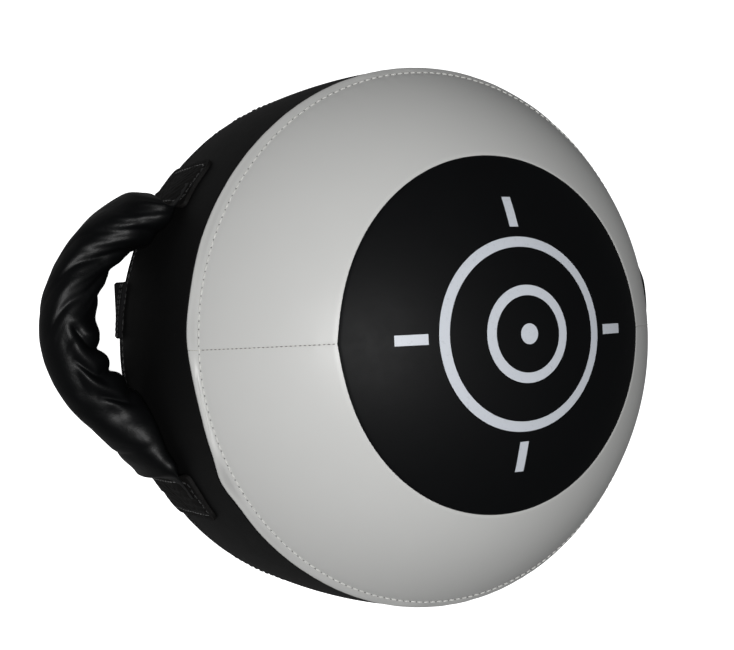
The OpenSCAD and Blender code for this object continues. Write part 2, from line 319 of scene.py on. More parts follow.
# %% The finishes
pale_leather = leather(
    "pale_cover_leather", (0.612, 0.612, 0.598), 0.42, grain=0.06, mottling=0.015, shine=0.4)
disc_leather = leather("black_disc_leather", (0.0034, 0.0036, 0.0040), 0.52, shine=0.11)
wall_leather = leather("black_wall_leather", (0.0036, 0.0036, 0.0037), 0.60, shine=0.18)
handle_leather = leather(
    "soft_handle_leather", (0.0026, 0.0028, 0.0031), 0.42, grain=0.16, crease=0.25, shine=0.17)
tab_leather = leather(
    "tab_leather", (0.0052, 0.0048, 0.0046), 0.66, grain=0.3, crease=0.5, shine=0.16)
target_ink = screen_ink("printed_target_ink", (0.60, 0.63, 0.68))
white_thread = twisted_thread("white_thread", (0.76, 0.76, 0.73))
# Dark grey for the beads at the rim's needle holes: painted shade
needle_hole_shade = twisted_thread("painted_needle_hole_shade", (0.20, 0.20, 0.19))
black_thread = twisted_thread("black_thread", (0.005, 0.005, 0.0055))
seam_thread = twisted_thread("grey_seam_thread", (0.24, 0.23, 0.22))
strap_webbing = woven_webbing("strap_webbing", (0.007, 0.007, 0.0075))
soft_foam = foam("soft_foam", (0.74, 0.70, 0.56), 700.0)
firm_foam = foam("firm_foam", (0.11, 0.12, 0.13), 1300.0)
print("materials:", len(bpy.data.materials))


# %% Floor finish
def floor_finish():
    """White paper that glows a little for the camera, so only a faint shadow shows on it."""
    material, tree, shader, place = new_finish("floor_paper")
    shader.inputs["Roughness"].default_value = 0.9
    clouds = texture(tree, place, "Noise", Scale=1.3, Detail=2.0)
    colour_by(tree, clouds.outputs["Fac"], shader, (0.20, 0.20, 0.20), (0.24, 0.24, 0.24))
    glow = add_node(tree, "ShaderNodeEmission", Color=(1, 1, 1, 1), Strength=0.84)
    lit = add_node(tree, "ShaderNodeBsdfDiffuse", Color=(1, 1, 1, 1))
    seen = tree.nodes.new("ShaderNodeAddShader")
    tree.links.new(glow.outputs[0], seen.inputs[0])
    tree.links.new(lit.outputs[0], seen.inputs[1])
    choice = white_to_camera(tree, shader, seen)
    tree.links.new(choice.outputs[0], tree.nodes["Material Output"].inputs["Surface"])
    return material


floor.data.materials.append(floor_finish())

# %% [markdown]
# ## Turning grids of points into leather
# A panel of leather is a thin closed shell: an outer surface that shows, an inner one against the
# foam, and an edge that joins them. Both surfaces are worked out as grids of points, which keeps full
# control over grooves and puckers. One helper turns two matching grids into one closed mesh.


# %% Shell helper
def closed_shell(name, outer, inner, material, wrap=False):
    """A closed mesh from two grids of points, rows by columns. wrap joins the last column to the first."""
    rows, cols = outer.shape[:2]
    count = rows * cols
    points = np.concatenate([outer.reshape(-1, 3), inner.reshape(-1, 3)])
    r, c = np.meshgrid(np.arange(rows - 1), np.arange(cols if wrap else cols - 1), indexing="ij")
    r, c = r.ravel(), c.ravel()
    c2 = (c + 1) % cols
    top = np.stack([r * cols + c, r * cols + c2, (r + 1) * cols + c2, (r + 1) * cols + c], 1)
    faces = [*top.tolist(), *(top[:, ::-1] + count).tolist()]
    border = [[(0, c) for c in range(cols)], [(rows - 1, c) for c in range(cols)]]
    if wrap:
        border = [line + line[:1] for line in border]
    else:
        border += [[(r, 0) for r in range(rows)], [(r, cols - 1) for r in range(rows)]]
    for line in border:
        ids = [r * cols + c for r, c in line]
        faces += [[a, b, b + count, a + count] for a, b in zip(ids, ids[1:])]
    mesh = bpy.data.meshes.new(name)
    mesh.from_pydata(points.tolist(), [], faces)
    return finish_mesh(name, mesh, material)


def ring_faces(rows, cols):
    """The faces of an open tube whose rows are closed rings of points."""
    return [
        (r * cols + c, r * cols + (c + 1) % cols, (r + 1) * cols + (c + 1) % cols, (r + 1) * cols + c)
        for r in range(rows - 1)
        for c in range(cols)
    ]


def finish_mesh(name, mesh, material):
    """Merges doubled points, turns the faces outwards, smooths the shading and makes the object."""
    work = bmesh.new()
    work.from_mesh(mesh)
    bmesh.ops.remove_doubles(work, verts=work.verts, dist=2e-6)
    bmesh.ops.dissolve_degenerate(work, edges=work.edges, dist=1e-7)
    bmesh.ops.recalc_face_normals(work, faces=work.faces)
    for face in work.faces:
        face.smooth = True
    for edge in work.edges:
        if len(edge.link_faces) == 2 and edge.calc_face_angle() > 0.9:
            edge.smooth = False
    work.to_mesh(mesh)
    work.free()
    mesh.materials.append(material)
    piece = bpy.data.objects.new(name, mesh)
    bpy.context.scene.collection.objects.link(piece)
    print(f"{name}: {len(mesh.vertices)} points, {len(mesh.polygons)} faces")
    return piece


def bell(x, width):
    """A smooth bump, 1 at zero and near 0 beyond twice the width."""
    return np.exp(-(np.asarray(x) / width) ** 2)


def smooth_step(x):
    """0 below 0, 1 above 1, and a smooth rise between."""
    x = np.clip(x, 0, 1)
    return x * x * (3 - 2 * x)


def ripple(x, seed, waves=9, low=3, high=40):
    """A fixed irregular wave round the pad: x is an angle in radians, and the result is about -1 to 1."""
    dice = np.random.default_rng(seed)
    total = np.zeros_like(np.asarray(x, float))
    for _ in range(waves):
        total += dice.uniform(0.4, 1) * np.sin(dice.integers(low, high) * x + dice.uniform(0, 2 * math.pi))
    return total / (waves * 0.45)


# %% [markdown]
# ## How the stuffed cover swells
# Foam pushes the leather out between the seams, and each seam holds it in. A cloth simulation can show
# that, so one closed skin is made in the pad's shape, pinned along its seams and blown up from inside.
# Only the distance that each point moved is kept, up to a limit, as a smooth map round the pad, and the
# panels are lifted by that map. With these settings the skin moves by less than 0.1 mm, too little to
# see, so the shapes that show come from the formulas further down. A higher pressure or more frames
# might swell it more, which hasn't been tried.

# %% Where the seams hold the cover
FACE_ROWS, WALL_ROWS, ROUND = 48, 24, 256
SWELL_CAP, SWELL_FRAMES = 0.0014, 20
rim_angle = dome_angle(rim_r - 0.0004)


def seam_hold(points):
    """1 where a seam or the back holds the cover, and 0 in the middle of a panel."""
    x, y, z = points.T
    r = np.hypot(x, y)
    on_face = z > rim_z + 0.003
    hold = bell(np.where(on_face, r - stitch_r, 1.0), 0.011)
    hold = np.maximum(hold, bell(np.where(on_face, r - disc_r, 1.0), 0.008))
    hold = np.maximum(hold, bell(np.where(on_face & (r > disc_r), y, 1.0), 0.007))
    hold = np.maximum(hold, bell(z - rim_z, 0.008))
    return np.where(z < wall_z0 + 0.003, 1.0, hold)


def rough_skin():
    """The pad's outline turned into one closed mesh for the simulation."""
    profile = [(0.0, 0.0), (rim_r - 0.012, 0.0), (rim_r - 0.004, 0.004), (rim_r, 0.012)]
    profile += [(wall_radius(z), z) for z in np.linspace(wall_z0, rim_z, 14)]
    profile += [(dome_r * math.sin(t), dome_z + dome_r * math.cos(t)) for t in np.linspace(rim_angle, 0, 28)]
    turn = np.linspace(0, 2 * math.pi, 120, endpoint=False)
    grid = np.array([[(r * math.cos(a), r * math.sin(a), z) for a in turn] for r, z in profile])
    mesh = bpy.data.meshes.new("swell_form")
    mesh.from_pydata(grid.reshape(-1, 3).tolist(), [], ring_faces(*grid.shape[:2]))
    return finish_mesh("swell_form", mesh, pale_leather)


# %% Blow the cover up and keep how far it moved
def simulate_swelling():
    """Runs the cloth and returns the rest points and the moved points."""
    form = rough_skin()
    remesh = form.modifiers.new("even_mesh", "REMESH")
    remesh.mode = "VOXEL"
    remesh.voxel_size = 0.006
    depsgraph = bpy.context.evaluated_depsgraph_get()
    mesh = bpy.data.meshes.new_from_object(form.evaluated_get(depsgraph))
    form.modifiers.clear()
    form.data = mesh
    rest = np.array([v.co for v in mesh.vertices])
    pins = form.vertex_groups.new(name="seams")
    for index, weight in enumerate(seam_hold(rest)):
        pins.add([index], float(weight), "REPLACE")
    cloth = form.modifiers.new("cover", "CLOTH")
    cloth.settings.quality = 6
    cloth.settings.mass = 0.4
    cloth.settings.tension_stiffness = 40
    cloth.settings.compression_stiffness = 40
    cloth.settings.bending_stiffness = 8
    cloth.settings.use_pressure = True
    cloth.settings.uniform_pressure_force = 4
    cloth.settings.vertex_group_mass = "seams"
    cloth.settings.effector_weights.gravity = 0
    cloth.point_cache.frame_start = 1
    cloth.point_cache.frame_end = SWELL_FRAMES
    for step in range(1, SWELL_FRAMES + 1):
        bpy.context.scene.frame_set(step)
    depsgraph = bpy.context.evaluated_depsgraph_get()
    moved = np.array([v.co for v in form.evaluated_get(depsgraph).data.vertices])
    bpy.data.objects.remove(form)
    bpy.context.scene.frame_set(1)
    return rest, moved


def swelling_map(rest, swell, rows, place):
    """Averages the swelling of nearby points on a grid: place gives each point's row and turn."""
    row, turn = place(rest)
    col = np.mod(turn, 2 * math.pi) / (2 * math.pi) * ROUND
    table = np.zeros((rows, ROUND))
    weight = np.full((rows, ROUND), 1e-6)
    inside = (row >= 0) & (row <= rows - 1)
    r, c = np.round(row[inside]).astype(int), col[inside].astype(int) % ROUND
    np.add.at(table, (r, c), swell[inside])
    np.add.at(weight, (r, c), 1.0)
    kernel = np.exp(-np.linspace(-2, 2, 9) ** 2)
    for array in (table, weight):
        wide = np.concatenate([array[:, -8:], array, array[:, :8]], 1)
        wide = np.apply_along_axis(lambda line: np.convolve(line, kernel, "same"), 1, wide)[:, 8:-8]
        tall = np.pad(wide, ((4, 4), (0, 0)), mode="edge")
        array[:] = np.apply_along_axis(lambda line: np.convolve(line, kernel[1:-1], "same"), 0, tall)[4:-4]
    return table / weight


def face_place(p):
    """Row and turn of points on the dome."""
    angle = np.arctan2(np.hypot(p[:, 0], p[:, 1]), p[:, 2] - dome_z)
    row = np.where(p[:, 2] > rim_z - 0.004, angle / rim_angle * (FACE_ROWS - 1), -1)
    return row, np.arctan2(p[:, 1], p[:, 0])


def wall_place(p):
    """Row and turn of points on the side wall."""
    row = (p[:, 2] - wall_z0) / (rim_z - wall_z0) * (WALL_ROWS - 1)
    row = np.where(np.hypot(p[:, 0], p[:, 1]) > rim_r - 0.006, row, -1)
    return row, np.arctan2(p[:, 1], p[:, 0])


rest_points, moved_points = simulate_swelling()
step_out = np.linalg.norm(moved_points - rest_points, axis=1)
step_out = SWELL_CAP * np.tanh(step_out / SWELL_CAP)
print(f"cloth: {len(rest_points)} points, swelled up to {step_out.max() * 1000:.2f} mm")
face_swell = swelling_map(rest_points, step_out, FACE_ROWS, face_place)
wall_swell = swelling_map(rest_points, step_out, WALL_ROWS, wall_place)


def read_map(table, row, turn):
    """Smooth reading of a swelling map at any row and turn."""
    rows = table.shape[0]
    row = np.clip(row, 0, rows - 1.001)
    col = np.mod(turn, 2 * math.pi) / (2 * math.pi) * ROUND
    r0, c0 = row.astype(int), col.astype(int) % ROUND
    u, v = smooth_step(row - r0), smooth_step(col - np.floor(col))
    c1 = (c0 + 1) % ROUND
    near = table[r0, c0] * (1 - v) + table[r0, c1] * v
    far = table[r0 + 1, c0] * (1 - v) + table[r0 + 1, c1] * v
    return near * (1 - u) + far * u


# %% [markdown]
# ## The striking face
# Two pale half-rings meet on the left and right in radial seams, and a black disc is let into the
# middle. Beside each seam the leather rolls down into a narrow valley. Just inside the rim a row of
# white topstitching pulls a shallow groove. Outside it the folded leather stands up in a low flange and
# curls over the shoulder. Its edge isn't a true circle: below the left seam it is drawn up a little,
# and then it bulges down over the wall. Sculpting could make all this by hand. Formulas are used, so
# that the stitches can be laid on the same surface later.

# %% The rim's edge
# How far the pale leather's edge sits above the true rim: [turn in degrees from the left, rise, width]
EDGE_WAVES = [(2, -0.0016, 5), (-11, 0.0040, 9), (-27, -0.0050, 4), (-40, -0.0015, 7), (28, -0.0018, 16)]


def edge_rise(turn):
    """How far the edge between the face and the wall rises above its true place."""
    from_left = np.degrees(np.mod(math.pi - turn + math.pi, 2 * math.pi) - math.pi)
    rise = 0.0004 * ripple(turn, seed=4, low=9, high=34)
    for at, height, width in EDGE_WAVES:
        rise = rise + height * bell(from_left - at, width)
    return rise


# %% The face's outer surface
SEAM_DEPTH, SEAM_WIDTH = 0.0005, 0.0011
GROOVE_DEPTH, GROOVE_WIDTH = 0.0004, 0.0016
FLANGE_SLOPE, DISC_POINT = 0.20, 0.0017


def face_lift(r, turn):
    """Height of the leather above the sphere, from the swelling, the seams and the puckers."""
    angle = np.arcsin(np.clip(r / dome_r, 0, 1))
    lift = read_map(face_swell, angle / rim_angle * (FACE_ROWS - 1), turn) - 0.0002
    beside_disc = bell(r - disc_r, SEAM_WIDTH)
    beside_radial = bell(r * np.sin(turn), SEAM_WIDTH) * smooth_step((r - disc_r) / 0.002)
    groove = bell(r - stitch_r, GROOVE_WIDTH)
    lift = lift * (1 - 0.9 * np.maximum(beside_disc, np.maximum(beside_radial, groove)))
    lift = lift - SEAM_DEPTH * np.maximum(beside_disc, 0.75 * beside_radial) - GROOVE_DEPTH * groove
    pucker = 0.00016 * ripple(turn, seed=11, waves=14, low=40, high=150)
    near_stitch = bell(r - stitch_r, 0.006) * (1 - 0.5 * groove)
    near_radial = bell(r * np.sin(turn), 0.006) * smooth_step((r - disc_r) / 0.01)
    cross = 0.00010 * ripple(r / 0.02, seed=23, waves=10, low=4, high=22)
    flange = FLANGE_SLOPE * np.clip(r - stitch_r, 0, None)
    soft = 0.0003 * ripple(turn, seed=31, waves=7, low=2, high=9) * smooth_step((r - disc_r) / 0.03)
    return lift + pucker * near_stitch + cross * near_radial + soft + flange


def on_dome(r, turn, lift):
    """Points on the dome at radius r, turned round the axis and lifted off the sphere."""
    # The radial seams draw the disc's edge out to a slight point
    off_seam = np.degrees(np.arcsin(np.abs(np.sin(turn))))
    r = r + DISC_POINT * np.exp(-off_seam / 7) * bell(r - disc_r, 0.018)
    angle = np.arcsin(np.clip(r / dome_r, 0, 1))
    out = dome_r + lift
    x = out * np.sin(angle) * np.cos(turn)
    y = out * np.sin(angle) * np.sin(turn)
    return np.stack([x, y, dome_z + out * np.cos(angle)], -1)


# %% The two half-rings
CURL_R, CURL_STEPS = 0.0017, 8
COVER_THICK = 0.0010


def face_radii():
    """Radii of the rows across a half-ring, closer together beside the seams."""
    start, end = disc_r + 0.00006, rim_r - 0.0005
    beside = start + 0.004 * np.linspace(0, 1, 7)[:-1] ** 1.5
    middle = np.linspace(start + 0.004, stitch_r - 0.006, 24)
    groove = np.linspace(stitch_r - 0.005, end, 14)
    return np.concatenate([beside, middle, groove])


def half_ring(name, first, last):
    """One pale panel of the face, between two turns round the axis."""
    turns = np.linspace(first, last, 361)
    close = 0.0001 / rim_r
    turns[0] += close
    turns[-1] -= close
    fine = np.linspace(0, 0.006 / rim_r, 5)[1:-1]
    turns = np.sort(np.concatenate([turns, turns[0] + fine, turns[-1] - fine]))
    radii = face_radii()
    r, a = np.meshgrid(radii, turns, indexing="ij")
    outer = on_dome(r, a, face_lift(r, a))
    # The curl over the shoulder turns from the dome's slope to straight inwards
    heading = np.linspace(dome_angle(radii[-1]), math.radians(168), CURL_STEPS)
    rows = [outer]
    edge = outer[-1]
    out = np.stack([np.cos(turns), np.sin(turns), np.zeros_like(turns)], -1)
    up = np.array([0, 0, 1.0])
    for low, high in zip(heading, heading[1:]):
        mid, length = (low + high) / 2, CURL_R * (high - low)
        edge = edge + length * (math.cos(mid) * out - math.sin(mid) * up)
        rows.append(edge[None])
    outer = np.concatenate(rows)
    # The wavy edge moves the band beyond the stitching up and down the wall
    radius = np.hypot(outer[..., 0], outer[..., 1])
    share = smooth_step((radius - stitch_r - 0.001) / (rim_r - stitch_r - 0.002))
    share[len(radii):] = 1
    shift = edge_rise(a[:1]) * share
    outer[..., 2] += shift
    push = 1 - 0.16 * shift / radius
    outer[..., :2] *= push[..., None]
    centre = np.array([0, 0, dome_z])
    inward = (outer - centre) / np.linalg.norm(outer - centre, axis=-1, keepdims=True)
    inner = outer - inward * COVER_THICK
    return closed_shell(name, outer, inner, pale_leather)


upper_face = half_ring("cover_face_upper", 0.0, math.pi)
lower_face = half_ring("cover_face_lower", math.pi, 2 * math.pi)


# %% The black disc
def disc_slack(r, turn):
    """A slow unevenness of the disc's leather, which the print on it follows."""
    return 0.00025 * ripple(turn, seed=51, waves=6, low=2, high=7) * smooth_step(r / disc_r)


def round_disc():
    """The disc in the middle, whose edge is drawn out a little where the radial seams meet it."""
    beside_seam = disc_r - 0.00006 - 0.0056 * np.linspace(1, 0, 9)[1:] ** 1.4
    radii = np.concatenate([np.linspace(0, disc_r - 0.006, 34), beside_seam])
    turns = np.linspace(0, 2 * math.pi, 300, endpoint=False)
    r, a = np.meshgrid(radii, turns, indexing="ij")
    outer = on_dome(r, a, face_lift(r, a) + disc_slack(r, a))
    inner = on_dome(r, a, np.full_like(r, -SKIN))
    return closed_shell("cover_centre_disc", outer, inner, disc_leather, wrap=True)


centre_disc = round_disc()

# %% [markdown]
# ## The side wall
# The wall is one long band of black leather. It is held at the rim seam and at the rear seam and
# swells between them. Short puckers fan out from both seams, and its top edge follows the wavy edge
# of the pale leather. A plain band with a Solidify modifier would be quicker, but its two surfaces are
# worked out here, because the tabs and the stitches are laid on the same formula.


# %% The wall
def wall_lift(turn, z):
    """Height of the wall's leather above the plain belly shape."""
    row = (z - wall_z0) / (rim_z - wall_z0) * (WALL_ROWS - 1)
    lift = read_map(wall_swell, row, turn) - 0.0002
    fan = 0.0005 * ripple(turn, seed=61, waves=16, low=24, high=90)
    held = np.maximum(bell(z - rim_z, 0.012), bell(z - wall_z0, 0.010))
    bulge = np.sin(math.pi * np.clip((z - wall_z0) / (rim_z - wall_z0), 0, 1))
    slack = 0.0006 * ripple(turn, seed=67, waves=8, low=3, high=16) * bulge
    return lift + fan * held + slack


def side_wall():
    """The black band between the rear seam and the rim."""
    turns = np.linspace(0, 2 * math.pi, 540, endpoint=False)
    foot, middle, head = np.linspace(0, 0.06, 5)[:-1], np.linspace(0.06, 0.92, 26), np.linspace(0.93, 1, 8)
    share = np.concatenate([foot, middle, head])
    s, a = np.meshgrid(share, turns, indexing="ij")
    top = rim_z + 0.0006 + edge_rise(a)
    z = wall_z0 + (top - wall_z0) * s
    tuck = 0.0016 * bell(1 - s, 0.012) + 0.0014 * bell(s, 0.014)
    r = wall_radius(z) + wall_lift(a, z) - tuck
    outer = np.stack([r * np.cos(a), r * np.sin(a), z], -1)
    inner_r = np.minimum(r - 0.0005, wall_radius(z) - SKIN)
    inner = np.stack([inner_r * np.cos(a), inner_r * np.sin(a), z], -1)
    return closed_shell("cover_side_wall", outer, inner, wall_leather, wrap=True)


wall = side_wall()

# %% [markdown]
# ## The printed target
# The print is a plain target in pale ink: two rings, a dot and four bars. It lies on the disc's own
# surface, so each part of it is a small grid in turn and radius that is lifted a little off the
# leather. It could be a mask in the disc's material, but a thin film of its own keeps its edge sharp and
# lets the print be left off or recoloured.


# %% The target
def target_parts():
    """The dot and the two rings as (inner radius, outer radius), the outer ring's radius, a line's width."""
    line = 0.007
    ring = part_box("printed_target")[1].x - 4 * line
    parts = [(0.0, line), (ring / 2 - line, ring / 2), (ring - line, ring)]
    return parts, ring, line


def printed_target():
    """One closed thin film for each part of the target, joined into one piece."""
    parts, ring, line = target_parts()
    films = []
    for near, far in parts:
        turns = np.radians(np.linspace(0, 360, 181)[:-1])
        radii = np.linspace(near, far, 5)
        r, a = np.meshgrid(radii, turns, indexing="ij")
        films.append((r * np.cos(a), r * np.sin(a), True))
    for quarter in range(4):
        length, width = np.linspace(ring + line, ring + 4 * line, 12), np.linspace(-line / 2, line / 2, 5)
        along, across = np.meshgrid(length, width, indexing="ij")
        c, s = math.cos(quarter * math.pi / 2), math.sin(quarter * math.pi / 2)
        films.append((along * c - across * s, along * s + across * c, False))
    pieces = []
    for x, y, wrap in films:
        r, a = np.hypot(x, y), np.arctan2(y, x)
        surface = face_lift(r, a) + disc_slack(r, a)
        outer = on_dome(r, a, surface + 0.00022)
        inner = on_dome(r, a, surface - 0.0001)
        pieces.append(closed_shell("film", outer, inner, target_ink, wrap=wrap))
    return joined("target_print", pieces)


def joined(name, pieces):
    """Several meshes as one object."""
    work = bmesh.new()
    for piece in pieces:
        work.from_mesh(piece.data)
    mesh = bpy.data.meshes.new(name)
    work.to_mesh(mesh)
    work.free()
    mesh.materials.append(pieces[0].data.materials[0])
    for piece in pieces:
        bpy.data.objects.remove(piece)
    whole = bpy.data.objects.new(name, mesh)
    bpy.context.scene.collection.objects.link(whole)
    return whole


target = printed_target()

# %% [markdown]
# ## Rows of stitches
# A sewn seam is the same short stitch again and again along a line, which is what Geometry Nodes are
# for. The tree takes a line of edges, cuts it into equal steps and lays one small rounded stitch along
# each step, with a little fixed wobble. The result is baked to a plain mesh. Between the white stitches
# of the rim the needle holes lie in shade. So a second row of very short dark grey beads lies half a
# stitch further on, as painted shade in the needle holes.


# %% The stitch tree
def stitch_tree():
    """Builds the tree once. Its inputs are the pitch, the stitch's length and thickness, and the thread."""
    tree = bpy.data.node_groups.new("stitch_row", "GeometryNodeTree")
    sockets = [("Geometry", "Geometry"), ("Pitch", "Float"), ("Length", "Float"), ("Thickness", "Float"),
               ("Wobble", "Float"), ("Seed", "Int"), ("Thread", "Material")]
    for name, kind in sockets:
        tree.interface.new_socket(name, in_out="INPUT", socket_type="NodeSocket" + kind)
    tree.interface.new_socket("Geometry", in_out="OUTPUT", socket_type="NodeSocketGeometry")
    given = tree.nodes.new("NodeGroupInput")
    result = tree.nodes.new("NodeGroupOutput")
    line = tree.nodes.new("GeometryNodeMeshToCurve")
    steps = tree.nodes.new("GeometryNodeResampleCurve")
    steps.mode = "LENGTH"
    bead = add_node(tree, "GeometryNodeMeshUVSphere", Segments=8, Rings=6, Radius=0.5)
    stretch = tree.nodes.new("ShaderNodeCombineXYZ")
    shaped = tree.nodes.new("GeometryNodeTransform")
    smooth = tree.nodes.new("GeometryNodeSetShadeSmooth")
    tangent = tree.nodes.new("GeometryNodeInputTangent")
    along = tree.nodes.new("FunctionNodeAlignRotationToVector")
    along.axis = "X"
    wobble = tree.nodes.new("FunctionNodeRandomValue")
    wobble.data_type = "FLOAT_VECTOR"
    less = add_node(tree, "ShaderNodeVectorMath", operation="SCALE")
    more = add_node(tree, "ShaderNodeVectorMath", operation="SCALE")
    ones = add_node(tree, "ShaderNodeCombineXYZ", X=1.0, Y=1.0, Z=1.0)
    minus = add_node(tree, "ShaderNodeMath", operation="MULTIPLY")
    minus.inputs[1].default_value = -1.0
    tilt = tree.nodes.new("FunctionNodeRotateRotation")
    to_turn = tree.nodes.new("FunctionNodeEulerToRotation")
    placed = tree.nodes.new("GeometryNodeInstanceOnPoints")
    real = tree.nodes.new("GeometryNodeRealizeInstances")
    dressed = tree.nodes.new("GeometryNodeSetMaterial")
    links = [
        (given, "Geometry", line, "Mesh"), (line, "Curve", steps, "Curve"),
        (given, "Pitch", steps, "Length"), (given, "Length", stretch, "X"),
        (given, "Thickness", stretch, "Y"), (given, "Thickness", stretch, "Z"),
        (bead, "Mesh", shaped, "Geometry"), (stretch, "Vector", shaped, "Scale"),
        (shaped, "Geometry", smooth, "Geometry"), (tangent, "Tangent", along, "Vector"),
        (ones, "Vector", more, 0), (given, "Wobble", more, "Scale"), (given, "Wobble", minus, 0),
        (ones, "Vector", less, 0), (minus, "Value", less, "Scale"),
        (less, "Vector", wobble, "Min"), (more, "Vector", wobble, "Max"), (given, "Seed", wobble, "Seed"),
        (wobble, "Value", to_turn, "Euler"), (along, "Rotation", tilt, "Rotation"),
        (to_turn, "Rotation", tilt, "Rotate By"), (steps, "Curve", placed, "Points"),
        (smooth, "Geometry", placed, "Instance"), (tilt, "Rotation", placed, "Rotation"),
        (placed, "Instances", real, "Geometry"), (real, "Geometry", dressed, "Geometry"),
        (given, "Thread", dressed, "Material"), (dressed, "Geometry", result, "Geometry"),
    ]
    for start, out, end, into in links:
        tree.links.new(start.outputs[out], end.inputs[into])
    return tree


STITCHES = stitch_tree()


STITCH_WOBBLE = 0.08


def sew(name, lines, thread, pitch, length, thickness, seed, closed=False):
    """A row of stitches along each line of points, as one plain mesh."""
    points, edges = [], []
    for line in lines:
        start = len(points)
        points += [tuple(p) for p in line]
        count = len(line)
        edges += [(start + i, start + i + 1) for i in range(count - 1)]
        if closed:
            edges.append((start + count - 1, start))
    mesh = bpy.data.meshes.new(name)
    mesh.from_pydata(points, edges, [])
    piece = bpy.data.objects.new(name, mesh)
    bpy.context.scene.collection.objects.link(piece)
    sewing = piece.modifiers.new("sewing", "NODES")
    sewing.node_group = STITCHES
    values = {"Pitch": pitch, "Length": length, "Thickness": thickness, "Wobble": STITCH_WOBBLE,
              "Seed": seed, "Thread": thread}
    for item in STITCHES.interface.items_tree:
        if item.in_out == "INPUT" and item.name in values:
            sewing[item.identifier] = values[item.name]
    depsgraph = bpy.context.evaluated_depsgraph_get()
    baked = bpy.data.meshes.new_from_object(piece.evaluated_get(depsgraph))
    piece.modifiers.clear()
    piece.data = baked
    baked.name = name
    print(f"{name}: {len(baked.polygons)} faces")
    return piece


# %% Stitches on the face
def round_line(r, lift, count=900, first=0.0, last=2 * math.pi):
    """Points round the dome on the leather's own surface."""
    turns = np.linspace(first, last, count, endpoint=False)
    radius = np.full_like(turns, r)
    return on_dome(radius, turns, face_lift(radius, turns) + lift)


def radial_line(side, lift):
    """Points along a radial seam, from the disc to the rim."""
    radii = np.linspace(disc_r + 0.002, stitch_r - 0.002, 60)
    turns = np.full_like(radii, 0.0 if side > 0 else math.pi)
    return on_dome(radii, turns, face_lift(radii, turns) + lift)


# Pitch, length and thickness of a stitch
RIM_PITCH = 0.0056
RIM_STITCH = (RIM_PITCH, 0.0043, 0.00125)
# Very short dark beads that paint the shade in the rim's needle holes
NEEDLE_HOLE_SHADE_DOT = (RIM_PITCH, 0.0011, 0.00090)
FACE_STITCH = (0.0031, 0.0019, 0.0007)
DISC_STITCH = (0.0040, 0.0030, 0.0006)

rim_row = round_line(stitch_r, 0.0003)
topstitch = sew("stitches_rim", [rim_row], white_thread, *RIM_STITCH, seed=3, closed=True)
half_a_stitch = RIM_PITCH / 2 / stitch_r
# A second row half a stitch on: dark beads of painted shade in the rim's needle holes
needle_hole_row = round_line(stitch_r - 0.0001, 0.0002, first=half_a_stitch, last=2 * math.pi + half_a_stitch)
needle_hole_shade_dots = sew("needle_hole_shade_rim", [needle_hole_row], needle_hole_shade, *NEEDLE_HOLE_SHADE_DOT, seed=3, closed=True)
seam_left = sew("stitches_face_left", [radial_line(-1, 0.0001)], seam_thread, *FACE_STITCH, seed=5)
seam_right = sew("stitches_face_right", [radial_line(1, 0.0001)], seam_thread, *FACE_STITCH, seed=6)
disc_row = round_line(disc_r, -0.0009)
disc_seam = sew("stitches_disc", [disc_row], black_thread, *DISC_STITCH, seed=7, closed=True)

# %% [markdown]
# ## The handles
# Each handle is a tube of soft leather round a foam core, sewn flat to the wall at both ends. The tube
# was twisted before it was sewn on, and it is bent into a loop. So the leather is drawn into long
# slanting folds on the upper half, and bunches into fat lobes on the inside of the bend, where there
# is too much of it. A cloth simulation could be one way to get such folds. It wasn't tried: here they
# are shaped point by point by formulas, so that each kind of fold can be put where it belongs.

# %% The loop's centre line
ROOT_Y, FOOT_Y = 0.099, 0.086
UPPER_LEG_ANGLE, LOWER_LEG_ANGLE = math.radians(8), math.radians(46)
GRIP_R = (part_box("left_grip_sleeve")[1].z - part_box("left_grip_sleeve")[0].z) / 2
BEND_R = 0.078
TAB_SPANS = {"upper": (29.0, 41.0), "lower": (-36.5, -25.0)}


def on_wall(low, high, off_low, off_high, count=24):
    """Points along the wall between two angles from the left side, a little way off it."""
    angle = math.pi - np.radians(np.linspace(low, high, count))
    reach = wall_radius(handle_z) + np.linspace(off_low, off_high, count)
    return np.stack([reach * np.cos(angle), reach * np.sin(angle)], -1)


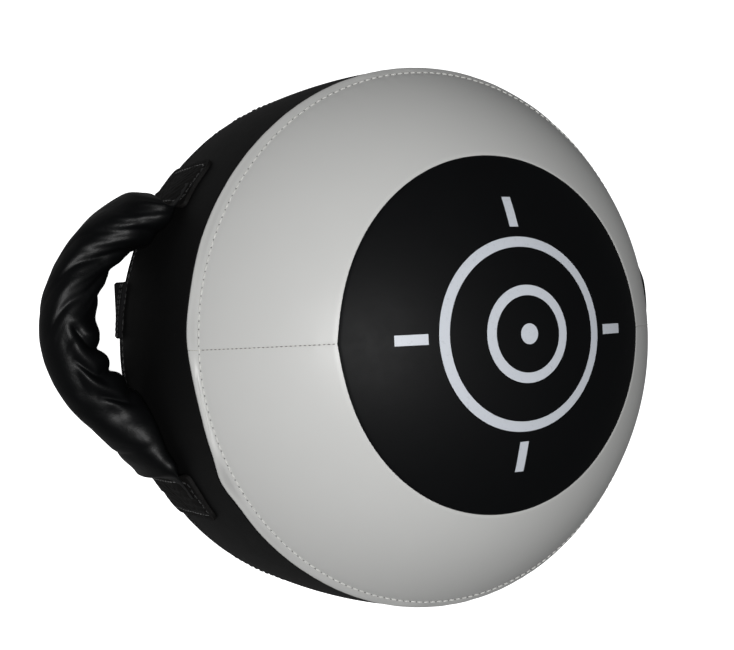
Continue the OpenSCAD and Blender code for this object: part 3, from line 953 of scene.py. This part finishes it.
def loop_line():
    """The left loop's centre line: under the upper tab, out and round the bend, and under the lower tab."""
    first = math.pi + UPPER_LEG_ANGLE
    turn = math.pi - UPPER_LEG_ANGLE - LOWER_LEG_ANGLE
    scale = (ROOT_Y + FOOT_Y) / math.sin(turn)
    upper_leg = scale * math.cos(LOWER_LEG_ANGLE) - BEND_R * math.tan(turn / 2)
    lower_leg = scale * math.cos(UPPER_LEG_ANGLE) - BEND_R * math.tan(turn / 2)
    along_leg = np.array([math.cos(first), math.sin(first)])
    start = np.array([-root_x, ROOT_Y]) + upper_leg * along_leg
    centre = start + BEND_R * np.array([-along_leg[1], along_leg[0]])
    heading = np.linspace(first, first + turn, 90)[:, None]
    bend = centre + BEND_R * np.hstack([np.sin(heading), -np.cos(heading)])
    foot_way = np.array([[-math.cos(LOWER_LEG_ANGLE), math.sin(LOWER_LEG_ANGLE)]])
    leg = np.array([-root_x, -FOOT_Y]) + np.linspace(lower_leg, 0.034, 30)[1:, None] * foot_way
    foot_turn = math.degrees(math.atan2(leg[-1][1], -leg[-1][0]))
    line = np.concatenate([
        on_wall(34.5, 29.2, 0.0026, 0.0044), bend, leg, on_wall(foot_turn - 1.5, -30.5, 0.0095, 0.0028)])
    # Even steps along it, then rounded where its parts meet
    for _ in range(2):
        step = np.concatenate([[0], np.cumsum(np.linalg.norm(np.diff(line, axis=0), axis=1))])
        even = np.linspace(0, step[-1], 361)
        line = np.stack([np.interp(even, step, line[:, k]) for k in range(2)], -1)
        kernel = np.exp(-np.linspace(-2, 2, 15) ** 2)
        wide = np.concatenate([2 * line[0] - line[7:0:-1], line, 2 * line[-1] - line[-2:-9:-1]])
        line = np.stack([np.convolve(wide[:, k], kernel / kernel.sum(), "valid") for k in range(2)], -1)
    return line


centre_line = loop_line()
steps_along = np.linalg.norm(np.diff(centre_line, axis=0), axis=1)
distance = np.concatenate([[0], np.cumsum(steps_along)])
from_left = np.degrees(np.arctan2(centre_line[:, 1], -centre_line[:, 0]))
loop_length = distance[-1]
from_top = distance - np.interp(-TAB_SPANS["upper"][0], -from_left, distance)
from_foot = np.interp(-TAB_SPANS["lower"][1], -from_left, distance) - distance
print(f"loop {loop_length:.4f} long, reaches {-centre_line[:, 0].min():.4f}, grip radius {GRIP_R:.4f}")


# %% The folds in the leather
def fold(phase, sharp=0.55, soft=0.012):
    """Rounded lobes between narrow valleys: near 0 in a valley and 1 on top of a lobe."""
    return (np.sin(math.pi * phase) ** 2 + soft) ** (sharp / 2)


def softened(lift, passes=2):
    """Averages each point with its neighbours, along the tube and round it, so no crease is jagged."""
    for _ in range(passes):
        lift = (np.roll(lift, 1, 1) + 2 * lift + np.roll(lift, -1, 1)) / 4
        lift[1:-1] = (lift[2:] + 2 * lift[1:-1] + lift[:-2]) / 4
    return lift


def handle_folds(top, foot, around, seed):
    """How far the leather stands off a plain tube. around is 0 on the inside of the bend."""
    dice = np.random.default_rng(seed)
    wander = sum(
        dice.uniform(0.4, 1.0)
        * np.sin(dice.integers(1, 4) * around + top * dice.uniform(20, 110) + dice.uniform(0, 6.3))
        for _ in range(7)
    ) / 3
    fine = sum(
        np.sin(dice.integers(2, 9) * around + top * dice.uniform(150, 500) + dice.uniform(0, 6.3))
        for _ in range(10)
    ) / 6
    inward = np.abs(np.mod(around + math.pi, 2 * math.pi) - math.pi)
    share = top / (top + foot)
    upper = 1 - smooth_step((share - 0.46) / 0.10)
    lower = smooth_step((share - 0.43) / 0.08) * (1 - smooth_step((share - 0.72) / 0.08))
    end = smooth_step((share - 0.70) / 0.10)
    outside = 0.5 - 0.5 * np.cos(around)
    # Upper half: slanting folds that wind round the tube, with finer creases lying beside them
    slant = top - 0.025 * around
    strength = np.clip(0.75 + 0.6 * wander, 0.2, 1.3)
    facing = 1 - 0.8 * smooth_step((inward - 1.9) / 0.7)
    main = fold(slant / 0.029 + 0.28 * wander, 0.7)
    beside = fold(slant / 0.0105 + 0.9 * wander + 0.3, 0.8)
    large, small = 0.0042 * (main - 0.72) * strength, 0.0009 * (beside - 0.7) * np.clip(0.6 - wander, 0, 1)
    lift = (large + small) * upper * facing
    # Lower half: pillows on the inside of the bend, whose creases turn up along the tube half way round
    step = smooth_step((inward - 0.95 - 0.25 * wander) / 0.80)
    pillows = fold(top / 0.0275 + 0.72 * step + 0.16 * wander + 0.05, 0.5, 0.008)
    inside = 1 - smooth_step((inward - 1.45 - 0.20 * wander) / 0.50)
    lift = lift + (0.0074 * (pillows - 0.72) + 0.0014) * inside * lower
    creased = fold(slant / 0.036 + 0.25 * wander, 0.9)
    lift = lift + 0.0012 * (creased - 0.8) * (1 - inside) * lower * facing
    # The lower end: one long pillow, a lip, and a deep crease where the tube dives under its tab
    lift = lift + (0.0026 * bell(foot - 0.042, 0.018) + 0.0005 * wander) * (1 - outside) * end
    lift = lift + (0.0030 * bell(foot - 0.008, 0.0045) - 0.0026 * bell(foot - 0.018, 0.0045)) * (1 - outside)
    # The outside of the bend is drawn flatter, except beside the tab, where the tube stands up
    lift = lift - 0.0030 * outside * bell(share - 0.28, 0.17) + 0.0040 * outside * bell(top - 0.010, 0.013)
    return softened(lift + 0.0005 * wander + 0.00018 * fine)


# %% Sweep the sleeve
# Half the sleeve's thickness off the wall and half its width up it, at distances from each tab's edge
TOP_THICK = ((-0.010, 0.0010), (-0.001, 0.0028), (0.009, 0.0150), (0.022, GRIP_R))
TOP_WIDE = ((-0.004, 0.0350), (0.010, 0.0365), (0.030, 0.0320), (0.068, GRIP_R))
FOOT_THICK = ((-0.010, 0.0012), (-0.002, 0.0030), (0.007, 0.0125), (0.028, 0.0180), (0.050, GRIP_R + 0.0012))
FOOT_WIDE = ((-0.004, 0.0330), (0.010, 0.0335), (0.030, 0.0290), (0.066, GRIP_R))


def along(table, where):
    """Reads a table of (distance, value) pairs with smooth steps between them."""
    at, value = np.array(table).T
    i = np.clip(np.searchsorted(at, where) - 1, 0, len(at) - 2)
    return value[i] + (value[i + 1] - value[i]) * smooth_step((where - at[i]) / (at[i + 1] - at[i]))


def sleeve_surface(depth, seed, rings, sides):
    """Rings of points on the left sleeve, a given depth inside its outer surface."""
    pick = np.linspace(0, loop_length, rings)
    x, y, top, foot = (np.interp(pick, distance, v) for v in (*centre_line.T, from_top, from_foot))
    ahead = np.gradient(np.stack([x, y], -1), axis=0)
    ahead /= np.linalg.norm(ahead, axis=1)[:, None]
    around = np.linspace(0, 2 * math.pi, sides, endpoint=False)
    t, f, a = top[:, None], foot[:, None], around[None, :]
    thick = np.minimum(along(TOP_THICK, top), along(FOOT_THICK, foot))[:, None]
    wide = np.maximum(along(TOP_WIDE, top), along(FOOT_WIDE, foot))[:, None]
    lift = handle_folds(t + 0 * a, f + 0 * a, a + 0 * t, seed) * np.minimum(1, thick / GRIP_R)
    across = (thick + lift - depth) * np.cos(a)
    grid = np.stack([
        x[:, None] - ahead[:, 1:2] * across,
        y[:, None] + ahead[:, 0:1] * across,
        handle_z + (wide + lift - depth) * np.sin(a),
    ], -1)
    # The soft sleeve flattens against the wall instead of going through it
    radius = np.hypot(grid[..., 0], grid[..., 1])
    least = wall_radius(grid[..., 2]) + 0.0022 + 0.5 * depth
    near = least + 0.005
    pressed = np.where(radius < near, least + 0.005 * np.exp((radius - near) / 0.005), radius)
    grid[..., :2] *= (pressed / radius)[..., None]
    return grid


SLEEVE_RINGS, SLEEVE_SIDES, SLEEVE_THICK = 270, 160, 0.0011


def sleeve(name, side, seed):
    """One sleeve of soft leather, as a closed tube with a wall. The right one has folds of its own."""
    outer = sleeve_surface(0.0, seed, SLEEVE_RINGS, SLEEVE_SIDES)
    inner = sleeve_surface(SLEEVE_THICK, seed, SLEEVE_RINGS, SLEEVE_SIDES)
    for grid in (outer, inner):
        grid[..., 0] *= -side
    return closed_shell(name, outer, inner, handle_leather, wrap=True)


CORE_DEPTH, CORE_RINGS, CORE_SIDES, CORE_ENDS = 0.0032, 150, 56, 22


def grip_core(name, side, seed):
    """The foam in a sleeve, which takes up the shape of its folds and ends before the tabs."""
    grid = sleeve_surface(CORE_DEPTH, seed, CORE_RINGS, CORE_SIDES)[CORE_ENDS:-CORE_ENDS]
    grid[..., 0] *= -side
    rows, cols = grid.shape[:2]
    faces = ring_faces(rows, cols)
    faces += [tuple(range(cols)), tuple((rows - 1) * cols + c for c in range(cols))[::-1]]
    mesh = bpy.data.meshes.new(name)
    mesh.from_pydata(grid.reshape(-1, 3).tolist(), [], faces)
    return finish_mesh(name, mesh, soft_foam)


cores = {LEFT: grip_core("grip_core_left", -1, seed=8), RIGHT: grip_core("grip_core_right", 1, seed=21)}
sleeves = {LEFT: sleeve("grip_left", -1, seed=8), RIGHT: sleeve("grip_right", 1, seed=21)}

# %% [markdown]
# ## The tabs that hold the handles
# Each end of a handle goes under a tab: a folded patch of leather sewn to the wall through a webbing
# patch inside. The tab bulges over the handle's flattened end, and its stitching sits in a shallow
# channel just inside the edge. A flat patch could be wrapped onto the wall with a Shrinkwrap modifier.
# Here each point is placed by a formula, and the stitches read the same one.

# %% The shape of a tab
TAB_HEM, TAB_CORNER = 0.0042, 0.007
TAB_STITCH = (0.0048, 0.0038, 0.0010)
tab_z0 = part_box("left_upper_tab")[0].z
tab_z1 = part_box("left_upper_tab")[1].z


def tab_height(u, v, half_u, half_v, loop_end):
    """How far the tab's leather stands off the wall. u runs round the wall and v up it, in metres."""
    from_edge = np.minimum(half_u - np.abs(u), half_v - np.abs(v))
    towards_loop = smooth_step((u * loop_end + half_u) / (2 * half_u))
    over_end = np.exp(-(v / 0.032) ** 6) * towards_loop
    height = 0.0026 + 0.0060 * over_end - 0.0007 * bell(from_edge - TAB_HEM, 0.0012) * (1 - over_end)
    wrinkle = 0.0004 * np.sin(u * 900 + 3 * np.sin(v * 160)) * np.sin(v * 330 + 1.0)
    return height + wrinkle * smooth_step(from_edge / 0.006)


def tab(name, span, side, seed):
    """One tab, as a closed patch with round corners that follows the wall."""
    low, high = (math.radians(a) for a in span)
    middle, half_u = (low + high) / 2, (high - low) / 2 * belly_r
    half_v = (tab_z1 - tab_z0) / 2
    loop_end = -1 if middle > 0 else 1
    v, u = np.meshgrid(np.linspace(-half_v, half_v, 76), np.linspace(-half_u, half_u, 50), indexing="ij")
    # Points past a corner's arc are drawn back onto it
    over_u = np.maximum(np.abs(u) - (half_u - TAB_CORNER), 0)
    over_v = np.maximum(np.abs(v) - (half_v - TAB_CORNER), 0)
    past = np.hypot(over_u, over_v)
    back = np.where(past > TAB_CORNER, TAB_CORNER / np.maximum(past, 1e-9), 1.0)
    u = np.sign(u) * (np.abs(u) - over_u * (1 - back))
    v = np.sign(v) * (np.abs(v) - over_v * (1 - back))
    uneven = 0.0006 * np.sin(v * 120 + seed) + 0.0004 * np.sin(v * 310 + 2 * seed)
    turn = math.pi - (middle + (u + uneven) / belly_r)
    z = tab_z0 + half_v + v + 0.0005 * np.sin(u * 210 + seed)
    base = wall_radius(z) + np.maximum(wall_lift(turn, z), 0)
    radius = base + tab_height(u, v, half_u, half_v, loop_end)
    outer = np.stack([radius * np.cos(turn), radius * np.sin(turn), z], -1)
    under = base + 0.0003 + np.maximum(tab_height(u, v, half_u, half_v, loop_end) - 0.0030, 0)
    inner = np.stack([under * np.cos(turn), under * np.sin(turn), z], -1)
    for grid in (outer, inner):
        grid[..., 0] *= -side
    return closed_shell(name, outer, inner, tab_leather)


def tab_stitch_line(span, side, count=160):
    """The stitching round a tab, as a rounded rectangle inside its edge."""
    low, high = (math.radians(a) for a in span)
    middle, half_u = (low + high) / 2, (high - low) / 2 * belly_r
    half_v = (tab_z1 - tab_z0) / 2
    loop_end = -1 if middle > 0 else 1
    t = np.linspace(0, 2 * math.pi, count, endpoint=False)
    box_u, box_v = half_u - TAB_HEM, half_v - TAB_HEM
    squareness = 0.22
    u = box_u * np.sign(np.cos(t)) * np.abs(np.cos(t)) ** squareness
    v = box_v * np.sign(np.sin(t)) * np.abs(np.sin(t)) ** squareness
    turn = math.pi - (middle + u / belly_r)
    z = tab_z0 + half_v + v
    radius = wall_radius(z) + np.maximum(wall_lift(turn, z), 0)
    radius = radius + tab_height(u, v, half_u, half_v, loop_end) + 0.0002
    return np.stack([-side * radius * np.cos(turn), radius * np.sin(turn), z], -1)


# %% Cut and sew the tabs
tabs, tab_sewing = {}, {}
for side, hand in ((-1, "left"), (1, "right")):
    for number, (place, span) in enumerate(TAB_SPANS.items()):
        node = f"{hand}_{place}_tab"
        tabs[node] = tab(f"tab_{hand}_{place}", span, side, seed=2.0 * number + side)
    lines = [tab_stitch_line(span, side) for span in TAB_SPANS.values()]
    tab_sewing[hand] = sew(f"stitches_tabs_{hand}", lines, black_thread, *TAB_STITCH, seed=9, closed=True)

# %% [markdown]
# ## The back
# The back is one flat panel with a rounded edge. A fat piping hides the seam between it and the wall,
# and a flat webbing strap crosses it in a shallow channel, for holding the pad from behind. The piping
# could be a curve with a round bevel. As a grid it can be a little uneven, as sewn piping is.

# %% The back panel
FLAT_R = 0.188
EDGE_R = rim_r - FLAT_R
strap_low, strap_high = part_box("rear_strap")
strap_y = (strap_low.y + strap_high.y) / 2
channel_half = (strap_high.y - strap_low.y) / 2 + 0.002
CHANNEL_DEPTH = 0.0058
BACK_THICK = 0.0012
piping_low, piping_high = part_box("rear_piping")
piping_z = (piping_low.z + piping_high.z) / 2
piping_thick = (piping_high.z - piping_low.z) / 2
piping_r = piping_high.x - piping_thick


def back_panel():
    """The panel that the pad rests on, with the strap's channel pressed into it."""
    arc = np.radians(np.linspace(0, 66, 10))
    radii = np.concatenate([np.linspace(0, rim_r - EDGE_R, 60)[:-1], rim_r - EDGE_R + EDGE_R * np.sin(arc)])
    rise = np.concatenate([np.zeros(59), EDGE_R * (1 - np.cos(arc))])
    turns = np.linspace(0, 2 * math.pi, 420, endpoint=False)
    r, a = np.meshgrid(radii, turns, indexing="ij")
    x, y = r * np.cos(a), r * np.sin(a)
    pucker = 0.0003 * (1 + ripple(a, seed=71, waves=12, low=20, high=80)) * bell(r - rim_r + 0.004, 0.010)
    z = rise[:, None] + pucker
    deep = smooth_step((channel_half + 0.001 - np.abs(y - strap_y)) / 0.003)
    z = np.maximum(z, CHANNEL_DEPTH * deep)
    outer = np.stack([x, y, z], -1)
    inward = np.stack([0.35 * x / rim_r, 0.35 * y / rim_r, np.ones_like(z)], -1)
    inward[..., :2] *= -1
    inner = outer + BACK_THICK * inward
    return closed_shell("cover_back", outer, inner, wall_leather, wrap=True)


back = back_panel()


# %% The piping
def piping():
    """A leather-covered cord round the back, a little uneven where it was sewn in."""
    turns = np.linspace(0, 2 * math.pi, 720, endpoint=False)
    round_it = np.linspace(0, 2 * math.pi, 15)
    a, b = np.meshgrid(turns, round_it, indexing="xy")
    thick = piping_thick * (0.97 + 0.03 * ripple(a, seed=77, waves=12, low=15, high=110))
    r = piping_r + thick * np.cos(b)
    outer = np.stack([r * np.cos(a), r * np.sin(a), piping_z + thick * np.sin(b)], -1)
    core = piping_r + 0.3 * thick * np.cos(b)
    inner = np.stack([core * np.cos(a), core * np.sin(a), piping_z + 0.3 * thick * np.sin(b)], -1)
    return closed_shell("cover_piping", outer, inner, wall_leather, wrap=True)


rear_piping = piping()
REAR_STITCH = (0.0050, 0.0038, 0.0009)
seam_turns = np.linspace(0, 2 * math.pi, 900, endpoint=False)
seam_z = np.full_like(seam_turns, wall_z0 + 0.003)
seam_r = wall_radius(seam_z) + wall_lift(seam_turns, seam_z) + 0.0003
seam_line = np.stack([seam_r * np.cos(seam_turns), seam_r * np.sin(seam_turns), seam_z], -1)
rear_sewing = sew("stitches_rear", [seam_line], black_thread, *REAR_STITCH, seed=12, closed=True)


# %% The strap
STRAP_HALF_THICK, STRAP_ROUND = 0.0013, 0.0012
STRAP_STITCH = (0.0040, 0.0030, 0.0009)


def strap_path():
    """Points of the strap's middle line in X and Z, from the left wall, under the back, to the right wall."""
    end_x = math.sqrt((wall_radius(piping_z) + 0.0022) ** 2 - strap_y ** 2)
    flat_z, bend = 0.0022, 0.0045
    corner = [(-end_x + bend - bend * math.sin(t), flat_z + bend - bend * math.cos(t))
              for t in np.radians(np.linspace(0, 90, 8))]
    up = [(-end_x, z) for z in np.linspace(corner[-1][1] + 0.002, strap_high.z - 0.0005, 5)]
    left = up[::-1] + corner[::-1]
    flat = [(x, flat_z) for x in np.linspace(-end_x + bend, end_x - bend, 120)[1:-1]]
    right = [(-x, z) for x, z in reversed(left)]
    return np.array(left + flat + right)


def strap():
    """Woven strap with rounded edges. Its ends turn up and are sewn to the wall over the piping."""
    line = strap_path()
    ahead = np.gradient(line, axis=0)
    ahead /= np.linalg.norm(ahead, axis=1)[:, None]
    normal = np.stack([ahead[:, 1], -ahead[:, 0]], -1)
    half = (strap_high.y - strap_low.y) / 2
    across = np.linspace(-half, half, 31)
    past_flat = np.clip((np.abs(across) - half + STRAP_ROUND) / STRAP_ROUND, 0, 1)
    thick = STRAP_HALF_THICK * np.maximum(np.sqrt(1 - past_flat ** 2), 0.05)
    grids = []
    for way in (1, -1):
        x = line[:, 0:1] + way * normal[:, 0:1] * thick[None]
        z = line[:, 1:2] + way * normal[:, 1:2] * thick[None]
        y = strap_y + across[None] + 0 * x
        # On the wall the strap follows the wall's curve
        up_wall = smooth_step((z - 0.004) / 0.004)
        plain = math.sqrt(wall_radius(0.012) ** 2 - strap_y ** 2)
        bow = np.sign(x) * (np.sqrt(wall_radius(z) ** 2 - y ** 2) - plain)
        grids.append(np.stack([x + bow * up_wall, y, z], -1))
    return closed_shell("strap_back", grids[0], grids[1], strap_webbing)


back_strap = strap()


def strap_stitch_lines():
    """Two rows of stitches across each end of the strap."""
    lines = []
    half = (strap_high.y - strap_low.y) / 2 - 0.003
    for side in (-1, 1):
        for z in (strap_high.z - 0.0035, strap_high.z - 0.0085):
            y = strap_y + np.linspace(-half, half, 30)
            x = side * (np.sqrt(wall_radius(z) ** 2 - y ** 2) + 0.0036)
            lines.append(np.stack([x, y, np.full_like(y, z)], -1))
    return lines


strap_sewing = sew("stitches_strap", strap_stitch_lines(), black_thread, *STRAP_STITCH, seed=14)

# %% [markdown]
# ## What each piece rides on
# The cover, the tabs and the strap ride on the pad. A handle's sleeve is sewn to the pad at its ends;
# here each sleeve and its foam core are baked in place and not attached to any body. The foam layers,
# the webbing and the hidden patches keep their CAD shapes and get foam and webbing finishes.

# %% Ride and replace
on_pad = [
    (upper_face, "pale_leather", ["face_upper"]),
    (lower_face, "pale_leather", ["face_lower"]),
    (centre_disc, "black_leather", ["centre_disc"]),
    (wall, "black_leather", ["side_wall"]),
    (target, "print_ink", ["printed_target"]),
    (topstitch, "white_thread", ["rim_topstitch"]),
    # The beads of painted needle-hole shade ride on the pad with the topstitch
    (needle_hole_shade_dots, "black_thread", ["rim_topstitch"]),
    (seam_left, "white_thread", ["left_face_seam"]),
    (seam_right, "white_thread", ["right_face_seam"]),
    (disc_seam, "black_thread", ["disc_seam_thread"]),
    (back, "black_leather", ["back_panel"]),
    (rear_piping, "black_leather", ["rear_piping"]),
    (rear_sewing, "black_thread", ["rear_seam_thread"]),
    (back_strap, "webbing", ["rear_strap"]),
    (strap_sewing, "black_thread", ["strap_stitching"]),
    (tab_sewing["left"], "black_thread", ["left_tab_stitching"]),
    (tab_sewing["right"], "black_thread", ["right_tab_stitching"]),
]
on_pad += [(piece, "black_leather", [node]) for node, piece in tabs.items()]
for piece, finish, nodes in on_pad:
    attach(piece, PAD)
    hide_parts(*nodes)

# Each sleeve and its foam core are baked in place, and the CAD nodes they replace are hidden
for hand, body, side in (("left", LEFT, -1), ("right", RIGHT, 1)):
    grip = sleeves[body]
    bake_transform(grip)
    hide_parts(f"{hand}_grip_sleeve")
    core = cores[body]
    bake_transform(core)
    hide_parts(f"{hand}_grip_foam")
print("pieces on the pad:", len(on_pad), "and two sleeves with their foam")

# %% Dress the CAD nodes that stay
KEPT = {
    soft_foam: ["dome_foam", "core_foam"],
    firm_foam: ["impact_foam", "back_foam"],
    strap_webbing: ["left_webbing_ends", "right_webbing_ends", "left_wall_patches", "right_wall_patches",
                    "left_webbing", "right_webbing"],
}
for finish, names in KEPT.items():
    for name in names:
        node = frame["nodes"][name]
        for place in node.material_slots:
            place.link = "OBJECT"
            place.material = finish
print("dressed", sum(len(names) for names in KEPT.values()), "CAD nodes")
